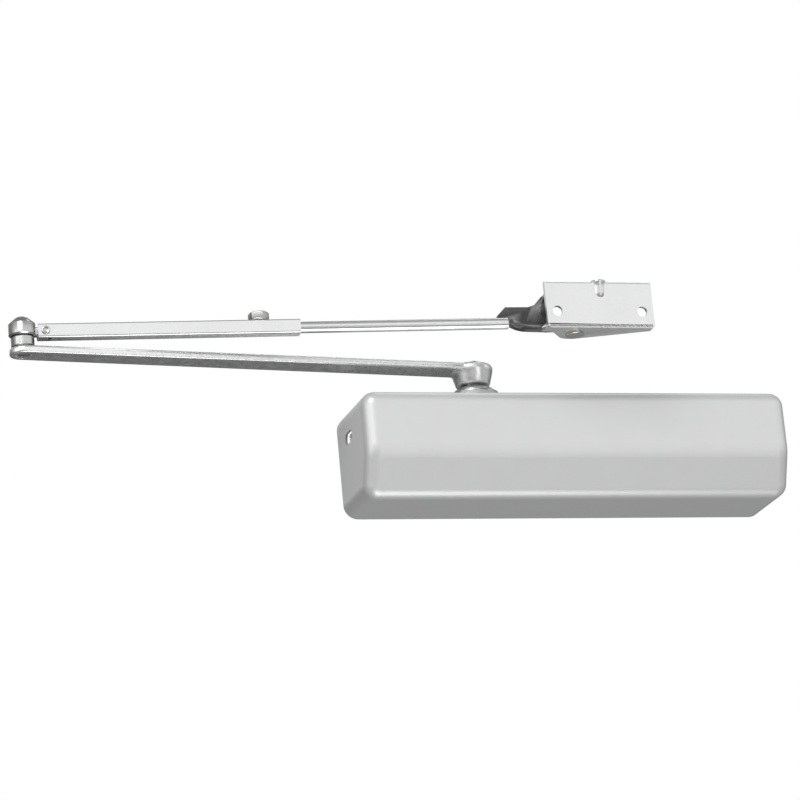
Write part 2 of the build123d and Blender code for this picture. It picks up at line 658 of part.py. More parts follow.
def make_shoe_rivet():
    """Rivet through both shoe flanges and the link's ears."""
    rivet = rod_z(RIVET_R, SHOE_BOTTOM_Z - 1, SHOE_TOP_Z + 1, SHOE_PIVOT_X, SHOE_PIVOT_Y)
    head = rod_z(6.6, SHOE_BOTTOM_Z - 1.5, SHOE_BOTTOM_Z - 0.02, SHOE_PIVOT_X, SHOE_PIVOT_Y)
    head = fillet(head.edges().sort_by(Axis.Z)[:1], 1.0)
    peened = rod_z(5.8, SHOE_TOP_Z + 0.02, SHOE_TOP_Z + 1.6, SHOE_PIVOT_X, SHOE_PIVOT_Y)
    peened = fillet(peened.edges().sort_by(Axis.Z)[-1:], 1.2)
    return rivet + head + peened


def make_bearings():
    """Upper and lower needle-bearing shells for the pinion."""
    upper = ring_z(BEARING_R, JOURNAL_R + 0.06, 20, 32)
    lower = ring_z(BEARING_R, JOURNAL_R + 0.06, BOSS_BOTTOM_Z + 3.5, -15)
    return upper, lower


os.makedirs("parts", exist_ok=True)

upper_bearing, lower_bearing = make_bearings()
save("body_casting", make_casting())
save("cover", make_cover())
save("cover_screws", make_cover_screws())
save("left_end_plug", make_left_plug())
save("right_end_plug", make_right_plug())
save("upper_bearing", upper_bearing)
save("lower_bearing", lower_bearing)
save("pinion_seal", ring_z(BEARING_R, JOURNAL_R + 0.05, 33, 37))
save("pinion_gland", make_gland())
save("pinion_shaft", make_pinion())
save("piston", make_piston())
save("piston_seals", make_piston_seals())
save("closing_spring", make_spring())
save("spring_seat", make_spring_seat())
save("adjusting_screw", make_adjusting_screw())
for valve_name, valve_x, valve_z in VALVES:
    save(valve_name, make_valve_screw(valve_x, valve_z))
save("main_arm", make_main_arm())
save("arm_screw", make_arm_screw())
save("arm_washer", make_arm_washer())
save("elbow_stud", make_elbow_stud())
save("elbow_washer", make_elbow_washer())
save("elbow_knuckle", make_elbow_knuckle())
save("knuckle_pin", make_knuckle_pin())
save("forearm_tube", make_forearm_tube())
save("clamp_screw", make_clamp_screw())
save("forearm_rod", make_forearm_rod())
save("rod_link", make_rod_link())
save("shoe_bracket", make_shoe())
save("shoe_rivet", make_shoe_rivet())
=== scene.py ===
"""Looks of a surface-mounted door closer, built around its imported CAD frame."""

import json
import logging
import math
from dataclasses import dataclass
from enum import Enum
from typing import Callable, Sequence

import bmesh
import bpy
from mathutils import Matrix, Vector


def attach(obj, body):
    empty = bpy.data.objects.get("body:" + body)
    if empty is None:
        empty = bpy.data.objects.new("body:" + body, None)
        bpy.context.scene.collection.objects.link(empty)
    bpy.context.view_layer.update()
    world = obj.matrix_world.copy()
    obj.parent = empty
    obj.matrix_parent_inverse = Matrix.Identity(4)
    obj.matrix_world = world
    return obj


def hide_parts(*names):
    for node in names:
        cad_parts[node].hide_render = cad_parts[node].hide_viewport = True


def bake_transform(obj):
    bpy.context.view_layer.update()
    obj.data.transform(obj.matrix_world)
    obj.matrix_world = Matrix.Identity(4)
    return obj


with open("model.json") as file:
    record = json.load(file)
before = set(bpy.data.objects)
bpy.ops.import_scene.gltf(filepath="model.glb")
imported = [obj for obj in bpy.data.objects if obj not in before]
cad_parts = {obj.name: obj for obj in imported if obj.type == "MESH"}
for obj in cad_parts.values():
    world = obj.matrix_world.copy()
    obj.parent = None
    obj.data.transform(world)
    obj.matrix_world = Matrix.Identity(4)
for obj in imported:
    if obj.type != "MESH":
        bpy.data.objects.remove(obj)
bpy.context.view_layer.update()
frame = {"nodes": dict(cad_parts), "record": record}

LOG = logging.getLogger("door_closer")
MM = 0.001

# Turning axes shared by several pieces, X and Y in millimetres, and the forearm's turn in degrees.
PINION_AXIS = (-63.7, -33.0)
ELBOW_AXIS = (-389.892, -66.421)
SHOE_AXIS = (-9.083, -99.001)
FOREARM_SWEEP = -4.89
FOREARM_LEVEL = 75.6

# Where a noise pattern's values mostly lie.
NOISE_LOW, NOISE_HIGH = 0.3, 0.7

Point = tuple[float, float, float]
Colour = tuple[float, float, float]


# --------------------------------------------------------------------------- materials


class Grain(Enum):
    """How a finish's fine marks run over the piece."""

    NONE = "none"
    ALONG_X = "along_x"
    AROUND_Z = "around_z"


class ShaderTree:
    """A node material under construction around one Principled shader."""

    def __init__(self, name: str) -> None:
        """Start an empty material.

        Args:
            name: The material's name.
        """
        self.material = bpy.data.materials.new(name)
        self.material.use_nodes = True
        self.nodes = self.material.node_tree.nodes
        self.links = self.material.node_tree.links
        self.nodes.clear()
        self.output = self.nodes.new("ShaderNodeOutputMaterial")
        self.shader = self.nodes.new("ShaderNodeBsdfPrincipled")
        self.links.new(self.shader.outputs["BSDF"], self.output.inputs["Surface"])
        self.coordinates = self.nodes.new("ShaderNodeTexCoord").outputs["Object"]

    def constant(self, **values: float) -> None:
        """Set constants on the shader's own sockets.

        Args:
            **values: Socket names with underscores for spaces.
        """
        for name, value in values.items():
            self.shader.inputs[name.replace("_", " ")].default_value = value

    def placed(self, scale: Point, shift: Point = (0.0, 0.0, 0.0)) -> bpy.types.NodeSocket:
        """Object coordinates, shifted and then stretched.

        Args:
            scale: Stretch along each axis.
            shift: Offset taken off before the stretch, in metres.

        Returns:
            The vector socket.
        """
        node = self.nodes.new("ShaderNodeMapping")
        node.inputs["Scale"].default_value = scale
        node.inputs["Location"].default_value = [-s * k for s, k in zip(shift, scale)]
        self.links.new(self.coordinates, node.inputs["Vector"])
        return node.outputs["Vector"]

    def noise(
        self, scale: float, detail: float = 3.0, vector: bpy.types.NodeSocket | None = None
    ) -> bpy.types.NodeSocket:
        """A noise pattern.

        Args:
            scale: Cells per metre.
            detail: Octaves.
            vector: Coordinates to read, or the object's own.

        Returns:
            The pattern's value socket.
        """
        node = self.nodes.new("ShaderNodeTexNoise")
        node.inputs["Scale"].default_value = scale
        node.inputs["Detail"].default_value = detail
        self.links.new(vector or self.coordinates, node.inputs["Vector"])
        return node.outputs["Fac"]

    def rings(self, centre: Point, per_metre: float) -> bpy.types.NodeSocket:
        """Fine turning marks stacked along Z, with a slow drift.

        Args:
            centre: A point on the turning axis, in metres.
            per_metre: Marks per metre.

        Returns:
            The pattern's value socket.
        """
        vector = self.placed((6.0, 6.0, per_metre), centre)
        return self.noise(1.0, 2.0, vector)

    def ramp(
        self, value: bpy.types.NodeSocket, low: float, high: float, start: float, end: float
    ) -> bpy.types.NodeSocket:
        """Map a value from one range onto another, clamped.

        Args:
            value: The socket to map.
            low: Value that becomes start.
            high: Value that becomes end.
            start: Result at low.
            end: Result at high.

        Returns:
            The mapped socket.
        """
        node = self.nodes.new("ShaderNodeMapRange")
        node.inputs["From Min"].default_value = low
        node.inputs["From Max"].default_value = high
        node.inputs["To Min"].default_value = start
        node.inputs["To Max"].default_value = end
        self.links.new(value, node.inputs["Value"])
        return node.outputs["Result"]

    def blend_colours(
        self, value: bpy.types.NodeSocket, dark: Colour, light: Colour
    ) -> bpy.types.NodeSocket:
        """A colour between two, chosen by a value from 0 to 1.

        Args:
            value: The mixing socket.
            dark: Colour at 0.
            light: Colour at 1.

        Returns:
            The colour socket.
        """
        node = self.nodes.new("ShaderNodeMix")
        node.data_type = "RGBA"
        self.links.new(value, node.inputs["Factor"])
        node.inputs["A"].default_value = (*dark, 1.0)
        node.inputs["B"].default_value = (*light, 1.0)
        return node.outputs["Result"]

    def bump(self, height: bpy.types.NodeSocket, depth: float, strength: float) -> None:
        """Bump the surface, on top of any bump already there.

        Args:
            height: The height socket.
            depth: Height of a full step, in metres.
            strength: How much of it shows.
        """
        node = self.nodes.new("ShaderNodeBump")
        node.inputs["Strength"].default_value = strength
        node.inputs["Distance"].default_value = depth
        self.links.new(height, node.inputs["Height"])
        normal = self.shader.inputs["Normal"]
        if normal.is_linked:
            self.links.new(normal.links[0].from_socket, node.inputs["Normal"])
        self.links.new(node.outputs["Normal"], normal)

    def feed(self, socket: str, value: bpy.types.NodeSocket) -> None:
        """Drive one of the shader's sockets.

        Args:
            socket: The socket's name.
            value: What drives it.
        """
        self.links.new(value, self.shader.inputs[socket])


@dataclass(frozen=True)
class PaintFinish:
    """Sprayed silver enamel with fine flake, faint mottle and orange peel."""

    name: str
    colour: Colour = (0.76, 0.765, 0.765)
    metallic: float = 0.40
    roughness: float = 0.40
    mottle: float = 0.03
    flake: float = 0.02
    peel: float = 0.12
    mottle_scale: float = 55.0
    flake_scale: float = 5200.0
    peel_scale: float = 900.0
    peel_depth: float = 0.00004

    def build(self) -> bpy.types.Material:
        """Make the material.

        Returns:
            The finished material.
        """
        tree = ShaderTree(self.name)
        dark = tuple(c * (1 - self.mottle) for c in self.colour)
        light = tuple(min(1.0, c * (1 + self.mottle)) for c in self.colour)
        mottle = tree.ramp(tree.noise(self.mottle_scale, 4.0), NOISE_LOW, NOISE_HIGH, 0.0, 1.0)
        tree.feed("Base Color", tree.blend_colours(mottle, dark, light))
        flake = tree.noise(self.flake_scale, 1.0)
        smoothest, roughest = self.roughness - 2 * self.flake, self.roughness + 2 * self.flake
        tree.feed("Roughness", tree.ramp(flake, NOISE_LOW, NOISE_HIGH, smoothest, roughest))
        tree.bump(tree.noise(self.peel_scale, 2.0), self.peel_depth, self.peel)
        tree.constant(Metallic=self.metallic)
        return tree.material


@dataclass(frozen=True)
class ForgedPaintFinish:
    """Thin silver paint over a hammered forging: bright skin with shallow pits and scuffs."""

    name: str
    colour: Colour = (0.93, 0.935, 0.935)
    metallic: float = 0.92
    roughness: float = 0.30
    lump_depth: float = 0.00006
    lump_scale: float = 150.0
    pit_scale: float = 700.0
    mark_scale: float = 420.0
    scuff_scale: float = 260.0
    mark_tone: float = 0.90

    def build(self) -> bpy.types.Material:
        """Make the material.

        Returns:
            The finished material.
        """
        tree = ShaderTree(self.name)
        dark = tuple(c * self.mark_tone for c in self.colour)
        marks = tree.ramp(tree.noise(self.mark_scale, 5.0), 0.30, 0.46, 0.0, 1.0)
        tree.feed("Base Color", tree.blend_colours(marks, dark, self.colour))
        scuffs = tree.noise(self.scuff_scale, 3.0)
        smoothest, roughest = self.roughness - 0.08, self.roughness + 0.12
        tree.feed("Roughness", tree.ramp(scuffs, NOISE_LOW, NOISE_HIGH, smoothest, roughest))
        tree.bump(tree.noise(self.lump_scale, 2.0), self.lump_depth, 0.55)
        tree.bump(tree.noise(self.pit_scale, 3.0), self.lump_depth * 0.35, 0.6)
        tree.constant(Metallic=self.metallic)
        return tree.material


@dataclass(frozen=True)
class SteelFinish:
    """Bare or plated steel with turning or drawing marks."""

    name: str
    colour: Colour = (0.62, 0.62, 0.61)
    roughness: float = 0.28
    marks: float = 0.25
    grain: Grain = Grain.NONE
    axis_point: Point = (0.0, 0.0, 0.0)
    turned_scale: float = 9000.0
    drawn_scale: Point = (25.0, 5200.0, 5200.0)
    fine_scale: float = 1800.0
    smudge_scale: float = 160.0
    mark_depth: float = 0.00003

    def build(self) -> bpy.types.Material:
        """Make the material.

        Returns:
            The finished material.
        """
        tree = ShaderTree(self.name)
        if self.grain is Grain.AROUND_Z:
            fine = tree.rings(self.axis_point, self.turned_scale)
        elif self.grain is Grain.ALONG_X:
            fine = tree.noise(1.0, 2.0, tree.placed(self.drawn_scale))
        else:
            fine = tree.noise(self.fine_scale, 3.0)
        dark = tuple(c * (1 - 0.45 * self.marks) for c in self.colour)
        tone = tree.ramp(fine, NOISE_LOW, NOISE_HIGH, 0.0, 1.0)
        tree.feed("Base Color", tree.blend_colours(tone, dark, self.colour))
        smudge = tree.noise(self.smudge_scale, 4.0)
        smoothest, roughest = self.roughness * 0.8, self.roughness * 1.3
        tree.feed("Roughness", tree.ramp(smudge, NOISE_LOW, NOISE_HIGH, smoothest, roughest))
        tree.bump(fine, self.mark_depth, self.marks)
        tree.constant(Metallic=1.0)
        return tree.material


@dataclass(frozen=True)
class PolymerFinish:
    """Dark rubber or nylon with a slightly dusty, moulded skin."""

    name: str
    colour: Colour = (0.02, 0.02, 0.021)
    roughness: float = 0.55
    dust_scale: float = 400.0
    dust_tone: float = 1.7
    skin_scale: float = 2200.0
    skin_depth: float = 0.00003

    def build(self) -> bpy.types.Material:
        """Make the material.

        Returns:
            The finished material.
        """
        tree = ShaderTree(self.name)
        dust = tree.ramp(tree.noise(self.dust_scale, 4.0), 0.4, NOISE_HIGH, 0.0, 1.0)
        light = tuple(c * self.dust_tone for c in self.colour)
        tree.feed("Base Color", tree.blend_colours(dust, self.colour, light))
        tree.feed("Roughness", tree.ramp(dust, 0.0, 1.0, self.roughness, self.roughness + 0.15))
        tree.bump(tree.noise(self.skin_scale, 2.0), self.skin_depth, 0.25)
        return tree.material


@dataclass(frozen=True)
class FloorFinish:
    """Matte pale studio floor with a soft glow of its own."""

    name: str = "studio_floor"
    colour: Colour = (0.86, 0.86, 0.86)
    glow: float = 0.42
    glow_colour: Colour = (1.0, 1.0, 1.0)
    cloud_scale: float = 3.0
    roughness: float = 0.9

    def build(self) -> bpy.types.Material:
        """Make the material.

        Returns:
            The finished material.
        """
        tree = ShaderTree(self.name)
        soft = tree.ramp(tree.noise(self.cloud_scale, 3.0), NOISE_LOW, NOISE_HIGH, 0.0, 1.0)
        light = tuple(min(1.0, c * 1.02) for c in self.colour)
        tree.feed("Base Color", tree.blend_colours(soft, self.colour, light))
        tree.constant(Roughness=self.roughness, Emission_Strength=self.glow)
        tree.shader.inputs["Emission Color"].default_value = (*self.glow_colour, 1.0)
        return tree.material


class FinishBook:
    """Every finish by its slot name, each built once."""

    def __init__(self) -> None:
        """List the finishes."""
        self.finishes = {
            "body_paint": PaintFinish(
                "body_paint", (0.60, 0.605, 0.605), 0.6, 0.45, mottle=0.05, flake=0.03, peel=0.5
            ),
            "cover_paint": PaintFinish("cover_paint", mottle=0.008, peel=0.08),
            "arm_paint": ForgedPaintFinish("arm_paint"),
            "tube_paint": PaintFinish("tube_paint", (0.84, 0.845, 0.845), 0.95, 0.26, mottle=0.02),
            "shoe_paint": PaintFinish("shoe_paint", (0.84, 0.845, 0.845), 0.9, 0.28, mottle=0.02),
            "link_steel": SteelFinish("link_steel", (0.40, 0.40, 0.40), 0.30, 0.5),
            "machined_steel": SteelFinish(
                "machined_steel", (0.66, 0.66, 0.655), 0.25, 0.5, Grain.AROUND_Z
            ),
            "zinc_steel": SteelFinish("zinc_steel", (0.70, 0.70, 0.68), 0.26, 0.3),
            "spring_steel": SteelFinish("spring_steel", (0.16, 0.16, 0.17), 0.35, 0.3),
            "hard_steel": SteelFinish("hard_steel", (0.42, 0.42, 0.43), 0.22, 0.3),
            "seal_rubber": PolymerFinish("seal_rubber"),
            "black_nylon": PolymerFinish("black_nylon", (0.03, 0.03, 0.032), 0.45),
        }
        self.built: dict[str, bpy.types.Material] = {}

    def material(self, slot: str) -> bpy.types.Material:
        """The material for a slot, built on first use.

        Args:
            slot: A material slot's name in the record.

        Returns:
            The material.
        """
        if slot not in self.built:
            self.built[slot] = self.finishes[slot].build()
        return self.built[slot]

    def dress(self, piece: bpy.types.Object, slot: str) -> None:
        """Give a piece one finish all over.

        Args:
            piece: The object to dress.
            slot: The finish's slot name.
        """
        piece.data.materials.clear()
        piece.data.materials.append(self.material(slot))


class CadNodes:
    """The carried-over CAD nodes, dressed from the record's own slots."""

    def __init__(self, finishes: FinishBook) -> None:
        """Remember where finishes come from.

        Args:
            finishes: The finish book.
        """
        self.finishes = finishes

    def dress(self) -> None:
        """Give every CAD node the finish of its slot."""
        slots = {s["node"]: s["material_slot"] for s in frame["record"]["subparts"]}
        for name, node in frame["nodes"].items():
            self.finishes.dress(node, slots[name])
            LOG.info("CAD node %s wears %s", name, slots[name])


# --------------------------------------------------------------------------- modelling


EdgeTest = Callable[[Vector, Vector], bool]

# Corners nearer than this, in metres, are one; heights nearer than this, in millimetres, are level.
WELD_GAP = 1e-7
TOUCH = 0.01


class Bench:
    """One piece being modelled with mesh operators, in metres."""

    def __init__(self, name: str) -> None:
        """Clear the selection so that operators act on the new piece alone.

        Args:
            name: The finished piece's name.
        """
        self.name = name
        bpy.ops.object.select_all(action="DESELECT")
        self.piece: bpy.types.Object | None = None

    def adopt(self) -> None:
        """Take the object that a primitive operator just made."""
        self.piece = bpy.context.object
        self.piece.name = self.name
        self.piece.data.name = self.name
        bpy.ops.object.transform_apply(location=True, rotation=True, scale=True)

    def start_box(self, low: Point, high: Point) -> "Bench":
        """Add a box between two corners.

        Args:
            low: Lowest corner in millimetres.
            high: Highest corner in millimetres.

        Returns:
            The bench.
        """
        middle = [(a + b) / 2 * MM for a, b in zip(low, high)]
        sides = [(b - a) * MM for a, b in zip(low, high)]
        bpy.ops.mesh.primitive_cube_add(size=1.0, location=middle, scale=sides)
        self.adopt()
        return self

    def start_disc(
        self, radius: float, z: float, centre: tuple[float, float] = (0.0, 0.0), sides: int = 96
    ) -> "Bench":
        """Add a filled disc that faces up.

        Args:
            radius: Its radius in millimetres.
            z: Its height in millimetres.
            centre: Its centre in millimetres.
            sides: How many corners it has.

        Returns:
            The bench.
        """
        bpy.ops.mesh.primitive_circle_add(
            vertices=sides, radius=radius * MM, fill_type="NGON",
            location=(centre[0] * MM, centre[1] * MM, z * MM),
        )
        self.adopt()
        return self

    def start_outline(self, points: Sequence[Point], lift: Point) -> "Bench":
        """Draw a closed outline corner by corner, fill it and give it thickness.

        Args:
            points: The corners in order, in millimetres, all in one plane.
            lift: The extrusion that gives it thickness, in millimetres.

        Returns:
            The bench.
        """
        first = Vector(points[0]) * MM
        bpy.ops.mesh.primitive_plane_add(size=MM, location=first)
        self.adopt()
        bpy.ops.object.mode_set(mode="EDIT")
        bpy.ops.mesh.select_mode(type="VERT")
        bpy.ops.mesh.select_all(action="SELECT")
        bpy.ops.mesh.merge(type="CENTER")
        bpy.ops.mesh.select_all(action="SELECT")
        for corner, last in zip(points[1:], points):
            step = tuple((c - k) * MM for c, k in zip(corner, last))
            bpy.ops.mesh.extrude_vertices_move(TRANSFORM_OT_translate={"value": step})
        bpy.ops.mesh.select_all(action="SELECT")
        bpy.ops.mesh.edge_face_add()
        bpy.ops.mesh.select_all(action="SELECT")
        self.grow(lift)
        self.outward()
        self.done()
        return self

    def edit(self) -> None:
        """Enter edit mode with nothing selected."""
        bpy.ops.object.mode_set(mode="EDIT")
        bpy.ops.mesh.select_all(action="DESELECT")

    def done(self) -> None:
        """Leave edit mode."""
        bpy.ops.object.mode_set(mode="OBJECT")

    def pick_edges(self, test: EdgeTest) -> None:
        """Select the edges whose two ends (in millimetres) pass a test.

        Args:
            test: Takes the two ends.
        """
        bpy.ops.mesh.select_mode(type="EDGE")
        bpy.ops.mesh.select_all(action="DESELECT")
        mesh = bmesh.from_edit_mesh(self.piece.data)
        for edge in mesh.edges:
            ends = [v.co / MM for v in edge.verts]
            edge.select_set(test(*ends))
        bmesh.update_edit_mesh(self.piece.data)

    def grow(self, step: Point) -> None:
        """Extrude the selected faces.

        Args:
            step: The move in millimetres.
        """
        bpy.ops.mesh.extrude_region_move(
            TRANSFORM_OT_translate={"value": tuple(s * MM for s in step)}
        )

    def widen(self, factor: float, centre: tuple[float, float], z: float) -> None:
        """Scale what is selected about a vertical axis.

        Args:
            factor: Scale in X and Y.
            centre: The axis in millimetres.
            z: Height of the pivot in millimetres.
        """
        bpy.ops.transform.resize(
            value=(factor, factor, 1.0), center_override=(centre[0] * MM, centre[1] * MM, z * MM)
        )

    def turn_profile(
        self,
        profile: Sequence[tuple[float, float]],
        centre: tuple[float, float] = (0.0, 0.0),
        sides: int = 96,
    ) -> "Bench":
        """Build a turned piece ring by ring, from its first disc to its last.

        Args:
            profile: Radius and height of each ring, in millimetres, bottom first.
            centre: The axis in millimetres.
            sides: How many corners each ring has.

        Returns:
            The bench.
        """
        radius, z = profile[0]
        self.start_disc(radius, z, centre, sides)
        self.edit()
        bpy.ops.mesh.select_all(action="SELECT")
        for next_radius, next_z in profile[1:]:
            self.grow((0.0, 0.0, next_z - z))
            self.widen(next_radius / radius, centre, next_z)
            radius, z = next_radius, next_z
        self.outward()
        self.done()
        return self

    def outward(self) -> None:
        """Merge doubles and turn every normal outwards, in edit mode."""
        bpy.ops.mesh.select_all(action="SELECT")
        bpy.ops.mesh.remove_doubles(threshold=WELD_GAP)
        bpy.ops.mesh.normals_make_consistent(inside=False)
        bpy.ops.mesh.select_all(action="DESELECT")

    def apply(self, kind: str, **settings: object) -> "Bench":
        """Add one modifier, set it and apply it.

        Args:
            kind: The modifier's type.
            **settings: Its settings.

        Returns:
            The bench.
        """
        modifier = self.piece.modifiers.new(kind.lower(), kind)
        for key, value in settings.items():
            setattr(modifier, key, value)
        bpy.context.view_layer.objects.active = self.piece
        bpy.ops.object.modifier_apply(modifier=modifier.name)
        return self

    def join_solid(self, other: "Bench", operation: str = "UNION") -> "Bench":
        """Combine another solid into this one and discard it.

        Args:
            other: The other bench, whose piece is used up.
            operation: UNION, DIFFERENCE or INTERSECT.

        Returns:
            The bench.
        """
        self.apply("BOOLEAN", operation=operation, object=other.piece, solver="EXACT")
        bpy.data.objects.remove(other.piece, do_unlink=True)
        self.select()
        return self

    def select(self) -> None:
        """Make this piece the only selected one."""
        bpy.ops.object.select_all(action="DESELECT")
        self.piece.select_set(True)
        bpy.context.view_layer.objects.active = self.piece

    def soften(self, width: float, steps: int = 3, angle: float = 30.0) -> "Bench":
        """Round every sharp edge with a bevel.

        Args:
            width: The bevel's width in millimetres.
            steps: Its segments.
            angle: Smallest edge angle that counts as sharp, in degrees.

        Returns:
            The bench.
        """
        return self.apply(
            "BEVEL", width=width * MM, segments=steps, limit_method="ANGLE",
            angle_limit=math.radians(angle), harden_normals=False,
        )

    def smooth(self, angle: float = 35.0) -> "Bench":
        """Shade smoothly below an angle.

        Args:
            angle: The angle in degrees.

        Returns:
            The bench.
        """
        self.select()
        bpy.ops.object.shade_smooth_by_angle(angle=math.radians(angle))
        return self

    def place(self, at: Point, sweep: float = 0.0, tip: float = 0.0) -> "Bench":
        """Move the piece from its own axis to its place, and put the place in its mesh.

        Args:
            at: Where its origin goes, in millimetres.
            sweep: Its turn about Z in degrees.
            tip: Its turn about X before that, in degrees.

        Returns:
            The bench.
        """
        self.select()
        self.piece.location = [a * MM for a in at]
        self.piece.rotation_euler = (math.radians(tip), 0.0, math.radians(sweep))
        bpy.ops.object.transform_apply(location=True, rotation=True, scale=True)
        return self


class SubAssembly:
    """Shared work of handing a finished piece over to the frame."""

    def __init__(self, finishes: FinishBook) -> None:
        """Remember where finishes come from.

        Args:
            finishes: The finish book.
        """
        self.finishes = finishes

    def hand_over(self, bench: Bench, body: str, slot: str, *nodes: str) -> None:
        """Dress a piece, hang it on its body and let it stand for CAD nodes.

        Args:
            bench: The bench with the finished piece.
            body: The CAD body it rides on.
            slot: The slot of its finish.
            *nodes: The CAD nodes it replaces.
        """
        self.finishes.dress(bench.piece, slot)
        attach(bench.piece, body)
        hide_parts(*nodes)
        LOG.info("piece %s rides on %s", bench.name, body)


@dataclass
class MainArmForging(SubAssembly):
    """The flat forged arm from the pinion to the elbow."""

    finishes: FinishBook
    axis: tuple[float, float] = PINION_AXIS
    sweep: float = 5.85
    reach: float = 327.9
    top: float = 64.6
    thickness: float = 5.4
    hub_half: float = 10.9
    tip_half: float = 9.4
    hub_radius: float = 14.8
    hub_foot_radius: float = 12.0
    hub_foot: float = 49.6
    grain_size: float = 0.62
    recess_radius: float = 5.8
    recess_depth: float = 1.8
    upper_round: float = 1.9
    lower_round: float = 0.7
    skin_passes: int = 12

    def bar(self) -> Bench:
        """The tapering bar with its round eye end.

        Returns:
            The bench with the bar.
        """
        low = self.top - self.thickness
        bench = Bench("main_arm_forging")
        bench.start_disc(self.tip_half, low, (self.reach, 0.0), 64)
        bench.edit()
        bpy.ops.mesh.select_all(action="SELECT")
        bench.grow((0.0, 0.0, self.thickness))
        bench.outward()
        self.stretch_to_hub(bench)
        bench.pick_edges(lambda a, b: min(a.z, b.z) > self.top - TOUCH)
        bpy.ops.mesh.bevel(offset=self.upper_round * MM, segments=4, affect="EDGES")
        bench.pick_edges(lambda a, b: max(a.z, b.z) < low + TOUCH)
        bpy.ops.mesh.bevel(offset=self.lower_round * MM, segments=2, affect="EDGES")
        bench.done()
        return bench

    def stretch_to_hub(self, bench: Bench) -> None:
        """Draw the inner half of the eye's outline out to the hub and widen it there.

        Args:
            bench: The bench, in edit mode.
        """
        inner_end = self.reach - 0.49
        bpy.ops.mesh.select_mode(type="VERT")
        mesh = bmesh.from_edit_mesh(bench.piece.data)
        for vertex in mesh.verts:
            vertex.select_set(vertex.co.x / MM < inner_end)
        bmesh.update_edit_mesh(bench.piece.data)
        bpy.ops.transform.translate(value=(-self.reach * MM, 0.0, 0.0))
        bpy.ops.transform.resize(
            value=(1.0, self.hub_half / self.tip_half, 1.0), center_override=(0.0, 0.0, 0.0)
        )

    def hub(self) -> Bench:
        """The tapered hub with a rounded crown.

        Returns:
            The bench with the hub.
        """
        low = self.top - self.thickness
        rings = [
            (self.hub_foot_radius - 0.7, self.hub_foot),
            (self.hub_foot_radius, self.hub_foot + 0.6),
            (self.hub_radius, low + 1.0),
            (self.hub_radius, self.top - 2.6),
            (self.hub_radius - 0.7, self.top - 1.2),
            (self.hub_radius - 1.9, self.top - 0.3),
            (self.hub_radius - 3.4, self.top),
        ]
        return Bench("hub").turn_profile(rings, sides=72)

    def recess(self) -> Bench:
        """The counterbore under the eye, where the stud's end is riveted.

        Returns:
            The bench with the cutter.
        """
        low = self.top - self.thickness
        rings = [(self.recess_radius, low - 1.0), (self.recess_radius, low + self.recess_depth)]
        return Bench("recess").turn_profile(rings, (self.reach, 0.0), 64)

    def build(self) -> None:
        """Forge the hub and the bar into one skin and put it in place."""
        bench = self.bar().join_solid(self.hub())
        bench.apply("REMESH", mode="VOXEL", voxel_size=self.grain_size * MM, use_smooth_shade=True)
        bench.apply("SMOOTH", factor=0.5, iterations=self.skin_passes)
        bench.join_solid(self.recess(), "DIFFERENCE")
        bench.smooth(40.0)
        bench.place((*self.axis, 0.0), 180.0 + self.sweep)
        self.hand_over(bench, "main_arm", "arm_paint", "main_arm")


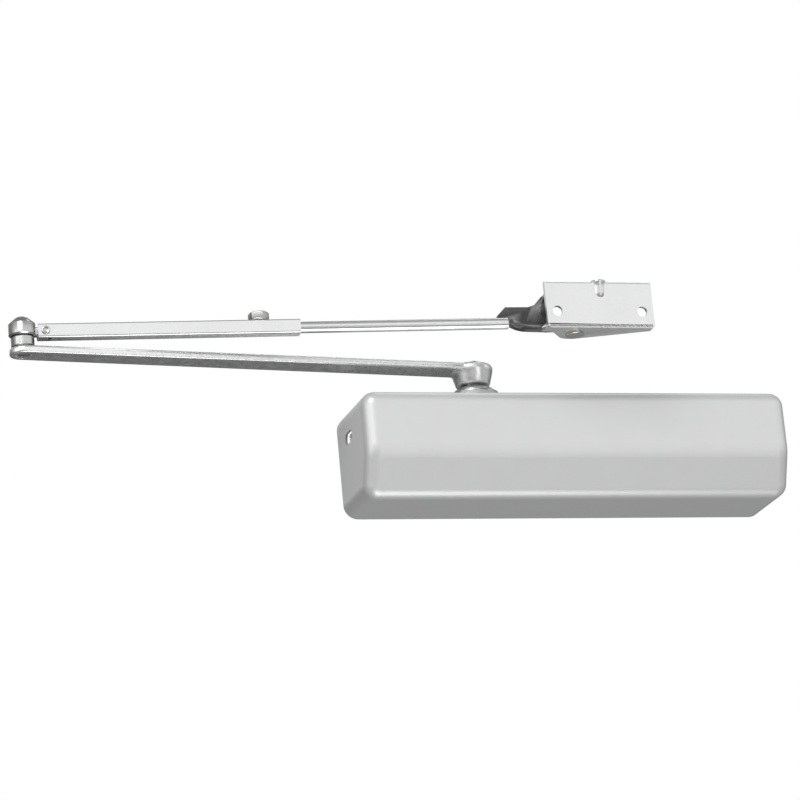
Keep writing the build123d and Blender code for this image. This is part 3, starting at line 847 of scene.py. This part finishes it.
@dataclass
class ElbowJoint(SubAssembly):
    """Stud, knuckle and cross pin where the two arms meet."""

    finishes: FinishBook
    elbow: tuple[float, float] = ELBOW_AXIS
    sweep: float = FOREARM_SWEEP
    level: float = FOREARM_LEVEL
    stud_radius: float = 4.6
    collar_radius: float = 7.9
    knuckle_radius: float = 9.2
    tongue: Point = (13.4, 6.2, 5.8)
    tongue_round: float = 0.8
    bore_gap: float = 0.06
    pin_at: float = 15.4
    pin_head: float = 3.0
    tube_half: float = 4.95

    def stud(self) -> None:
        """Turn the stud: riveted foot, grooved neck, collar and peened crown."""
        collar = self.collar_radius
        rings = [
            (3.6, 59.6), (4.4, 60.0), (4.5, 64.6), (collar - 2.6, 64.62), (collar - 2.6, 65.5),
            (collar - 0.5, 65.5), (collar, 65.9), (collar, 71.3), (collar - 0.4, 71.8),
            (self.stud_radius, 71.85), (self.stud_radius, 84.85), (4.9, 84.9), (4.6, 85.3),
            (3.4, 86.0), (2.0, 86.35), (0.7, 86.4),
        ]
        bench = Bench("elbow_stud_turned").turn_profile(rings)
        bench.smooth(32.0).place((*self.elbow, 0.0))
        self.hand_over(bench, "main_arm", "machined_steel", "elbow_stud")

    def knuckle(self) -> None:
        """Turn the knuckle, bore it and weld on the tongue."""
        radius = self.knuckle_radius
        rings = [
            (radius - 1.1, 72.7), (radius, 73.7), (radius, 81.0), (radius - 0.3, 81.5),
            (5.8, 84.3), (5.2, 84.6),
        ]
        bench = Bench("elbow_knuckle_turned").turn_profile(rings)
        length, width, height = self.tongue
        start = radius - 2.0
        tongue = Bench("tongue").start_box(
            (start, -width / 2, self.level - height / 2),
            (start + length, width / 2, self.level + height / 2),
        )
        tongue.soften(self.tongue_round, 3)
        bench.join_solid(tongue)
        bore_radius = self.stud_radius + self.bore_gap
        bore = Bench("bore").turn_profile([(bore_radius, 70.0), (bore_radius, 88.0)])
        bench.join_solid(bore, "DIFFERENCE")
        bench.smooth(32.0).place((*self.elbow, 0.0), self.sweep)
        self.hand_over(bench, "elbow_knuckle", "machined_steel", "elbow_knuckle")

    def pin(self) -> None:
        """Form the cross pin with a rolled, hollow head on each side of the tube."""
        outer = self.tube_half
        head = self.pin_head
        rings = [
            (0.9, -outer - 0.35), (1.5, -outer - 0.45), (1.9, -outer - 0.95), (2.4, -outer - 1.05),
            (head - 0.15, -outer - 0.8), (head, -outer - 0.45), (head, -outer - 0.03),
            (2.0, -outer - 0.02), (2.0, outer + 0.02), (head, outer + 0.03), (head, outer + 0.45),
            (head - 0.3, outer + 0.85), (2.0, outer + 1.0), (1.2, outer + 0.6), (0.6, outer + 0.5),
        ]
        bench = Bench("knuckle_pin_rolled").turn_profile(rings, sides=48)
        bench.smooth(45.0)
        bench.place((self.pin_at, 0.0, 0.0), 0.0, -90.0)
        bench.place((*self.elbow, self.level), self.sweep)
        self.hand_over(bench, "forearm_tube", "zinc_steel", "knuckle_pin")

    def build(self) -> None:
        """Build the joint's three pieces."""
        self.stud()
        self.knuckle()
        self.pin()


@dataclass
class PinionGland(SubAssembly):
    """The bright conical nose above the cover, around the pinion."""

    finishes: FinishBook
    axis: tuple[float, float] = PINION_AXIS
    flange: float = 17.4
    nose: float = 11.5
    bore: float = 8.3

    def build(self) -> None:
        """Turn the gland and bore it."""
        rings = [
            (12.4, 37.5), (12.48, 42.42), (self.flange - 0.2, 42.42), (self.flange, 42.6),
            (self.flange - 0.1, 43.5), (self.nose + 0.4, 47.7), (self.nose - 0.1, 47.95),
            (self.nose - 0.6, 48.0),
        ]
        bench = Bench("pinion_gland_turned").turn_profile(rings)
        bore = Bench("gland_bore").turn_profile([(self.bore, 30.0), (self.bore, 50.0)])
        bench.join_solid(bore, "DIFFERENCE")
        bench.smooth(28.0).place((*self.axis, 0.0))
        self.hand_over(bench, "closer_body", "machined_steel", "pinion_gland")


@dataclass
class ClampScrew(SubAssembly):
    """Hexagon-head screw that locks the rod in the tube."""

    finishes: FinishBook
    elbow: tuple[float, float] = ELBOW_AXIS
    sweep: float = FOREARM_SWEEP
    along: float = 161.6
    seat: float = 80.55
    across_flats: float = 12.7
    washer_face: float = 0.9
    flats_height: float = 5.1
    flats_round: float = 0.25
    turn: float = 12.0

    def build(self) -> None:
        """Cut the hexagon from a chamfered blank and add the shank and washer face."""
        foot = self.seat + self.washer_face
        top = foot + self.flats_height
        corner = self.across_flats / math.sqrt(3.0)
        bench = Bench("clamp_screw_head").start_disc(corner, foot, sides=6)
        bench.edit()
        bpy.ops.mesh.select_all(action="SELECT")
        bench.grow((0.0, 0.0, self.flats_height))
        bench.outward()
        bench.done()
        bench.soften(self.flats_round, 2)
        blank = Bench("blank").turn_profile(
            [(corner + 1.0, self.seat), (corner + 1.0, top - 2.0), (corner - 1.3, top - 0.25),
             (corner - 1.9, top)], sides=72,
        )
        bench.join_solid(blank, "INTERSECT")
        shank = Bench("shank").turn_profile(
            [(2.8, self.seat - 0.65), (3.05, self.seat - 0.4), (3.05, self.seat + 0.02),
             (6.0, self.seat + 0.03), (6.2, self.seat + 0.25), (6.2, self.seat + 1.1)], sides=72,
        )
        bench.join_solid(shank)
        bench.smooth(25.0)
        bench.place((0.0, 0.0, 0.0), self.turn)
        bench.place((self.along, 0.0, 0.0))
        bench.place((*self.elbow, 0.0), self.sweep)
        self.hand_over(bench, "clamp_screw", "zinc_steel", "clamp_screw")


@dataclass
class RodLink(SubAssembly):
    """Folded sheet link between the rod's end and the shoe's rivet."""

    finishes: FinishBook
    pivot: tuple[float, float] = SHOE_AXIS
    sweep: float = FOREARM_SWEEP
    level: float = FOREARM_LEVEL
    sheet: float = 2.8
    web_y: float = 3.95
    low: float = -4.9
    high: float = 20.6
    web_end: float = -17.0
    ear_radius: float = 9.6
    hole_radius: float = 4.08
    fold_round: float = 0.45

    def web(self) -> Bench:
        """The upright web behind the rod's end.

        Returns:
            The bench with the web.
        """
        corners = [
            (-52.9, 6.8), (-46.6, 13.2), (-30.0, 13.0), (-25.5, 14.6), (-20.0, self.high),
            (self.web_end, self.high), (self.web_end, self.low), (-29.0, self.low + 0.6),
            (-36.0, -2.6), (-46.0, 0.4), (-52.0, 4.2),
        ]
        points = [(x, self.web_y, z) for x, z in corners]
        return Bench("rod_link_folded").start_outline(points, (0.0, self.sheet, 0.0))

    def ear(self, floor: float) -> Bench:
        """One flat ear around the rivet.

        Args:
            floor: Height of its underside above the rod's level.

        Returns:
            The bench with the ear.
        """
        disc = [
            (self.ear_radius * math.cos(a), self.ear_radius * math.sin(a), floor)
            for a in (math.radians(d) for d in range(-140, 141, 8))
        ]
        back = self.web_y + self.sheet
        points = disc + [(self.web_end - 2.5, back, floor), (self.web_end - 2.5, -6.0, floor)]
        return Bench("ear").start_outline(points, (0.0, 0.0, self.sheet))

    def lip(self) -> Bench:
        """The pressed lip that curls forward under the rod's end.

        Returns:
            The bench with the lip.
        """
        low = self.low
        corners = [
            (-46.0, 2.0), (-43.0, 0.6), (-39.5, -0.9), (-35.0, -2.2), (-30.0, low + 2.2),
            (self.web_end, low + 2.2), (self.web_end, low), (-31.0, low), (-36.0, low + 0.4),
            (-40.5, -3.4), (-43.8, -1.8), (-46.0, -0.4),
        ]
        points = [(x, -5.0, z) for x, z in corners]
        return Bench("lip").start_outline(points, (0.0, self.web_y + 6.0, 0.0))

    def build(self) -> None:
        """Join the folds, round them and drill the rivet's hole."""
        bench = self.web()
        bench.join_solid(self.lip())
        bench.join_solid(self.ear(self.low))
        bench.join_solid(self.ear(self.high - self.sheet))
        bench.soften(self.fold_round, 2, 25.0)
        hole = Bench("hole").turn_profile(
            [(self.hole_radius, self.low - 2.0), (self.hole_radius, self.high + 2.0)], sides=48
        )
        bench.join_solid(hole, "DIFFERENCE")
        bench.smooth(32.0).place((*self.pivot, self.level), self.sweep)
        self.hand_over(bench, "forearm_rod", "link_steel", "rod_link")


@dataclass
class ShoeBracket(SubAssembly):
    """Pressed channel bracket with two screw holes and a stiffening rib."""

    finishes: FinishBook
    left: float = -34.0
    right: float = 44.0
    front: float = -116.0
    bottom: float = 67.4
    top: float = 99.5
    sheet: float = 3.0
    pivot: tuple[float, float] = SHOE_AXIS
    lug_radius: float = 12.0
    hole_z: float = 78.0
    hole_x: tuple[float, float] = (-26.0, 35.8)
    hole_radius: float = 3.7
    rivet_hole_radius: float = 4.05
    rib_x: float = 6.2
    bend_round: float = 1.4
    edge_round: float = 0.4

    def flange(self, floor: float, upper: bool) -> Bench:
        """One flange with its rounded lug.

        Args:
            floor: Height of its underside.
            upper: True for the flange above the plate, which is cut back at its left.

        Returns:
            The bench with the flange.
        """
        px, py = self.pivot
        lug = [
            (px + self.lug_radius * math.cos(a), py + self.lug_radius * math.sin(a), floor)
            for a in (math.radians(d) for d in range(66, 131, 8))
        ]
        right = [(self.left, self.front, floor), (self.right, self.front, floor),
                 (self.right, self.front + 10.5, floor)]
        if upper:
            back = self.front + self.sheet
            left = [(px - 12.0, self.front + 15.0, floor), (self.left + 6.0, back, floor),
                    (self.left, back, floor)]
        else:
            left = [(px - 17.0, self.front + 14.0, floor), (self.left, self.front + 13.0, floor)]
        return Bench("flange").start_outline(right + lug + left, (0.0, 0.0, self.sheet))

    def plate(self) -> Bench:
        """The plain front plate.

        Returns:
            The bench with the plate.
        """
        return Bench("shoe_bracket_pressed").start_box(
            (self.left, self.front, self.bottom), (self.right, self.front + self.sheet, self.top)
        )

    def rib(self) -> Bench:
        """The swage that runs down from the plate's top edge and fades out.

        Returns:
            The bench with the rib.
        """
        rings = [(1.2, 87.6), (2.8, 88.3), (3.7, 89.6), (4.1, 91.5), (4.3, 96.0), (4.8, 98.4),
                 (5.4, 99.6), (5.0, 100.5), (3.2, 101.0)]
        return Bench("rib").turn_profile(rings, (self.rib_x, self.front + 2.6), 48)

    def build(self) -> None:
        """Press the channel, add the rib, drill the holes and round the bends."""
        bench = self.plate()
        bench.join_solid(self.flange(self.bottom, False))
        bench.join_solid(self.flange(self.top - self.sheet, True))
        bench.edit()
        bench.pick_edges(
            lambda a, b: max(a.y, b.y) < self.front + TOUCH and abs(a.z - b.z) < TOUCH
            and (a.z < self.bottom + TOUCH or a.z > self.top - TOUCH)
        )
        bpy.ops.mesh.bevel(offset=self.bend_round * MM, segments=5, affect="EDGES")
        bench.done()
        bench.join_solid(self.rib())
        for x in self.hole_x:
            drill = Bench("drill").turn_profile(
                [(self.hole_radius, -6.0), (self.hole_radius, 6.0)], sides=48
            )
            drill.place((x, self.front, self.hole_z), 0.0, 90.0)
            bench.join_solid(drill, "DIFFERENCE")
        rivet_hole = [(self.rivet_hole_radius, 60.0), (self.rivet_hole_radius, 106.0)]
        drill = Bench("drill").turn_profile(rivet_hole, self.pivot, 48)
        bench.join_solid(drill, "DIFFERENCE")
        bench.soften(self.edge_round, 2, 40.0)
        bench.smooth(30.0)
        self.hand_over(bench, "shoe", "shoe_paint", "shoe_bracket")


@dataclass
class ClosingSpring(SubAssembly):
    """The closing spring's coil, built at one fixed length along the barrel."""

    finishes: FinishBook
    left: float = -25.6
    right: float = 108.0
    level_y: float = PINION_AXIS[1]
    coil_radius: float = 13.4
    wire_radius: float = 2.5
    turns: int = 12
    steps: int = 40
    wire_sides: int = 20

    def build(self) -> None:
        """Screw the wire's section along the barrel, cap its ends and put it in place."""
        length = self.right - self.left - 2 * self.wire_radius
        bench = Bench("closing_spring_coil")
        bpy.ops.mesh.primitive_circle_add(
            vertices=self.wire_sides, radius=self.wire_radius * MM, fill_type="NOTHING",
            location=(0.0, self.coil_radius * MM, 0.0),
        )
        bench.adopt()
        bench.apply(
            "SCREW", axis="X", angle=math.tau, iterations=self.turns, steps=self.steps,
            render_steps=self.steps, screw_offset=length / self.turns * MM,
        )
        bench.edit()
        bpy.ops.mesh.select_all(action="SELECT")
        bpy.ops.mesh.fill_holes(sides=0)
        bench.outward()
        bench.done()
        bench.smooth(40.0)
        bench.place((self.left + self.wire_radius, self.level_y, 0.0))
        self.finishes.dress(bench.piece, "spring_steel")
        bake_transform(bench.piece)
        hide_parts("closing_spring")
        LOG.info("piece %s flexes between the piston and the body", bench.name)


# --------------------------------------------------------------------------- studio


@dataclass
class Studio:
    """Floor, sky, lamps and camera around the closer."""

    floor_z: float = -1.9
    floor_reach: float = 12.0
    camera_at: Point = (-0.9501, -2.5575, -0.7677)
    camera_right: Point = (0.95409, -0.28629, -0.08803)
    camera_up: Point = (-0.00324, -0.30375, 0.95275)
    lens: float = 180.0
    sensor: float = 36.0
    clip_end: float = 60.0
    backdrop: float = 1.0
    sky_blend: float = 0.35
    front_sky: tuple[tuple[float, float], ...] = (
        (0.0, 0.24),
        (0.22, 0.24),
        (0.40, 0.30),
        (0.50, 0.54),
        (0.55, 0.98),
        (0.74, 0.98),
        (0.86, 0.45),
        (1.0, 0.28),
    )
    back_sky: tuple[tuple[float, float], ...] = (
        (0.0, 0.30),
        (0.22, 0.14),
        (0.42, 0.10),
        (0.50, 0.10),
        (0.66, 0.24),
        (0.82, 0.28),
        (1.0, 0.28),
    )
    lamps: tuple[tuple[str, Point, float, float], ...] = (
        ("key_lamp", (-1.7, -2.6, 2.4), 44.0, 1.6),
        ("fill_lamp", (-2.6, -1.2, 0.4), 5.0, 1.4),
        ("low_lamp", (0.0, -0.5, -1.65), 12.0, 1.2),
        ("hub_lamp", (0.93, -2.8, -0.67), 4.0, 1.2),
        ("nose_lamp", (0.73, 0.68, 2.2), 2.0, 0.4),
        ("back_lamp", (-0.6, 2.4, 1.2), 3.0, 1.4),
    )

    def build(self) -> None:
        """Set up the whole studio."""
        self.add_floor()
        self.add_sky()
        for name, place, power, size in self.lamps:
            self.add_lamp(name, place, power, size)
        self.add_camera()
        bpy.context.scene.view_settings.view_transform = "Standard"

    def add_floor(self) -> None:
        """Lay the floor far below, where a door's foot would be."""
        bpy.ops.mesh.primitive_plane_add(size=2 * self.floor_reach, location=(0, 0, self.floor_z))
        floor = bpy.context.object
        floor.name = "studio_floor"
        floor.data.materials.append(FloorFinish().build())
        floor.visible_glossy = False
        floor.visible_diffuse = False

    def add_sky(self) -> None:
        """Light everything from a soft sky that is dark below and bright at eye height."""
        world = bpy.data.worlds.new("studio_sky")
        bpy.context.scene.world = world
        world.use_nodes = True
        nodes, links = world.node_tree.nodes, world.node_tree.links
        nodes.clear()
        output = nodes.new("ShaderNodeOutputWorld")
        coordinates = nodes.new("ShaderNodeTexCoord")
        split = nodes.new("ShaderNodeSeparateXYZ")
        links.new(coordinates.outputs["Generated"], split.inputs["Vector"])
        height = self.spread(world, split.outputs["Z"], -1.0, 1.0)
        turn = self.spread(world, split.outputs["Y"], -self.sky_blend, self.sky_blend)
        front = self.sky_ramp(world, height, self.front_sky)
        back = self.sky_ramp(world, height, self.back_sky)
        both = nodes.new("ShaderNodeMix")
        both.data_type = "RGBA"
        links.new(turn, both.inputs["Factor"])
        links.new(front, both.inputs["A"])
        links.new(back, both.inputs["B"])
        lit = nodes.new("ShaderNodeBackground")
        links.new(both.outputs["Result"], lit.inputs["Color"])
        plain = nodes.new("ShaderNodeBackground")
        plain.inputs["Color"].default_value = (*[self.backdrop] * 3, 1.0)
        path = nodes.new("ShaderNodeLightPath")
        mix = nodes.new("ShaderNodeMixShader")
        links.new(path.outputs["Is Camera Ray"], mix.inputs["Fac"])
        links.new(lit.outputs["Background"], mix.inputs[1])
        links.new(plain.outputs["Background"], mix.inputs[2])
        links.new(mix.outputs["Shader"], output.inputs["Surface"])

    def spread(
        self, world: bpy.types.World, value: bpy.types.NodeSocket, low: float, high: float
    ) -> bpy.types.NodeSocket:
        """Map a direction's coordinate smoothly onto 0 to 1.

        Args:
            world: The world that holds the nodes.
            value: The coordinate's socket.
            low: Coordinate that becomes 0.
            high: Coordinate that becomes 1.

        Returns:
            The mapped socket.
        """
        node = world.node_tree.nodes.new("ShaderNodeMapRange")
        node.inputs["From Min"].default_value = low
        node.inputs["From Max"].default_value = high
        world.node_tree.links.new(value, node.inputs["Value"])
        return node.outputs["Result"]

    def sky_ramp(
        self,
        world: bpy.types.World,
        height: bpy.types.NodeSocket,
        steps: tuple[tuple[float, float], ...],
    ) -> bpy.types.NodeSocket:
        """A grey sky whose brightness changes from straight down to straight up.

        Args:
            world: The world that holds the nodes.
            height: The mapped height socket.
            steps: Pairs of place and brightness.

        Returns:
            The colour socket.
        """
        ramp = world.node_tree.nodes.new("ShaderNodeValToRGB")
        ramp.color_ramp.interpolation = "EASE"
        while len(ramp.color_ramp.elements) < len(steps):
            ramp.color_ramp.elements.new(0.5)
        for element, (place, level) in zip(ramp.color_ramp.elements, steps):
            element.position = place
            element.color = (level, level, level, 1.0)
        world.node_tree.links.new(height, ramp.inputs["Fac"])
        return ramp.outputs["Color"]

    def add_lamp(self, name: str, place: Point, power: float, size: float) -> None:
        """Add one large soft lamp aimed at the closer.

        Args:
            name: The lamp's name.
            place: Where it hangs, in metres.
            power: Its power in watts.
            size: Its side in metres.
        """
        data = bpy.data.lights.new(name, "AREA")
        data.energy = power
        data.size = size
        lamp = bpy.data.objects.new(name, data)
        lamp.location = place
        lamp.rotation_euler = (-Vector(place)).to_track_quat("-Z", "Y").to_euler()
        bpy.context.scene.collection.objects.link(lamp)

    def add_camera(self) -> None:
        """Stand the camera low and to the left, tipped up at the closer."""
        data = bpy.data.cameras.new("camera")
        data.lens = self.lens
        data.sensor_width = self.sensor
        data.clip_end = self.clip_end
        camera = bpy.data.objects.new("camera", data)
        right = Vector(self.camera_right).normalized()
        up = Vector(self.camera_up).normalized()
        back = right.cross(up).normalized()
        up = back.cross(right)
        turn = Matrix((right, up, back)).transposed().to_4x4()
        camera.matrix_world = Matrix.Translation(self.camera_at) @ turn
        bpy.context.scene.collection.objects.link(camera)
        bpy.context.scene.camera = camera


def main() -> None:
    """Build every sub-assembly in order and report each piece."""
    logging.basicConfig(level=logging.INFO, format="%(name)s: %(message)s")
    finishes = FinishBook()
    CadNodes(finishes).dress()
    for assembly in (
        MainArmForging, PinionGland, ElbowJoint, ClampScrew, RodLink, ShoeBracket, ClosingSpring
    ):
        assembly(finishes).build()
    Studio().build()


if __name__ == "__main__":
    main()
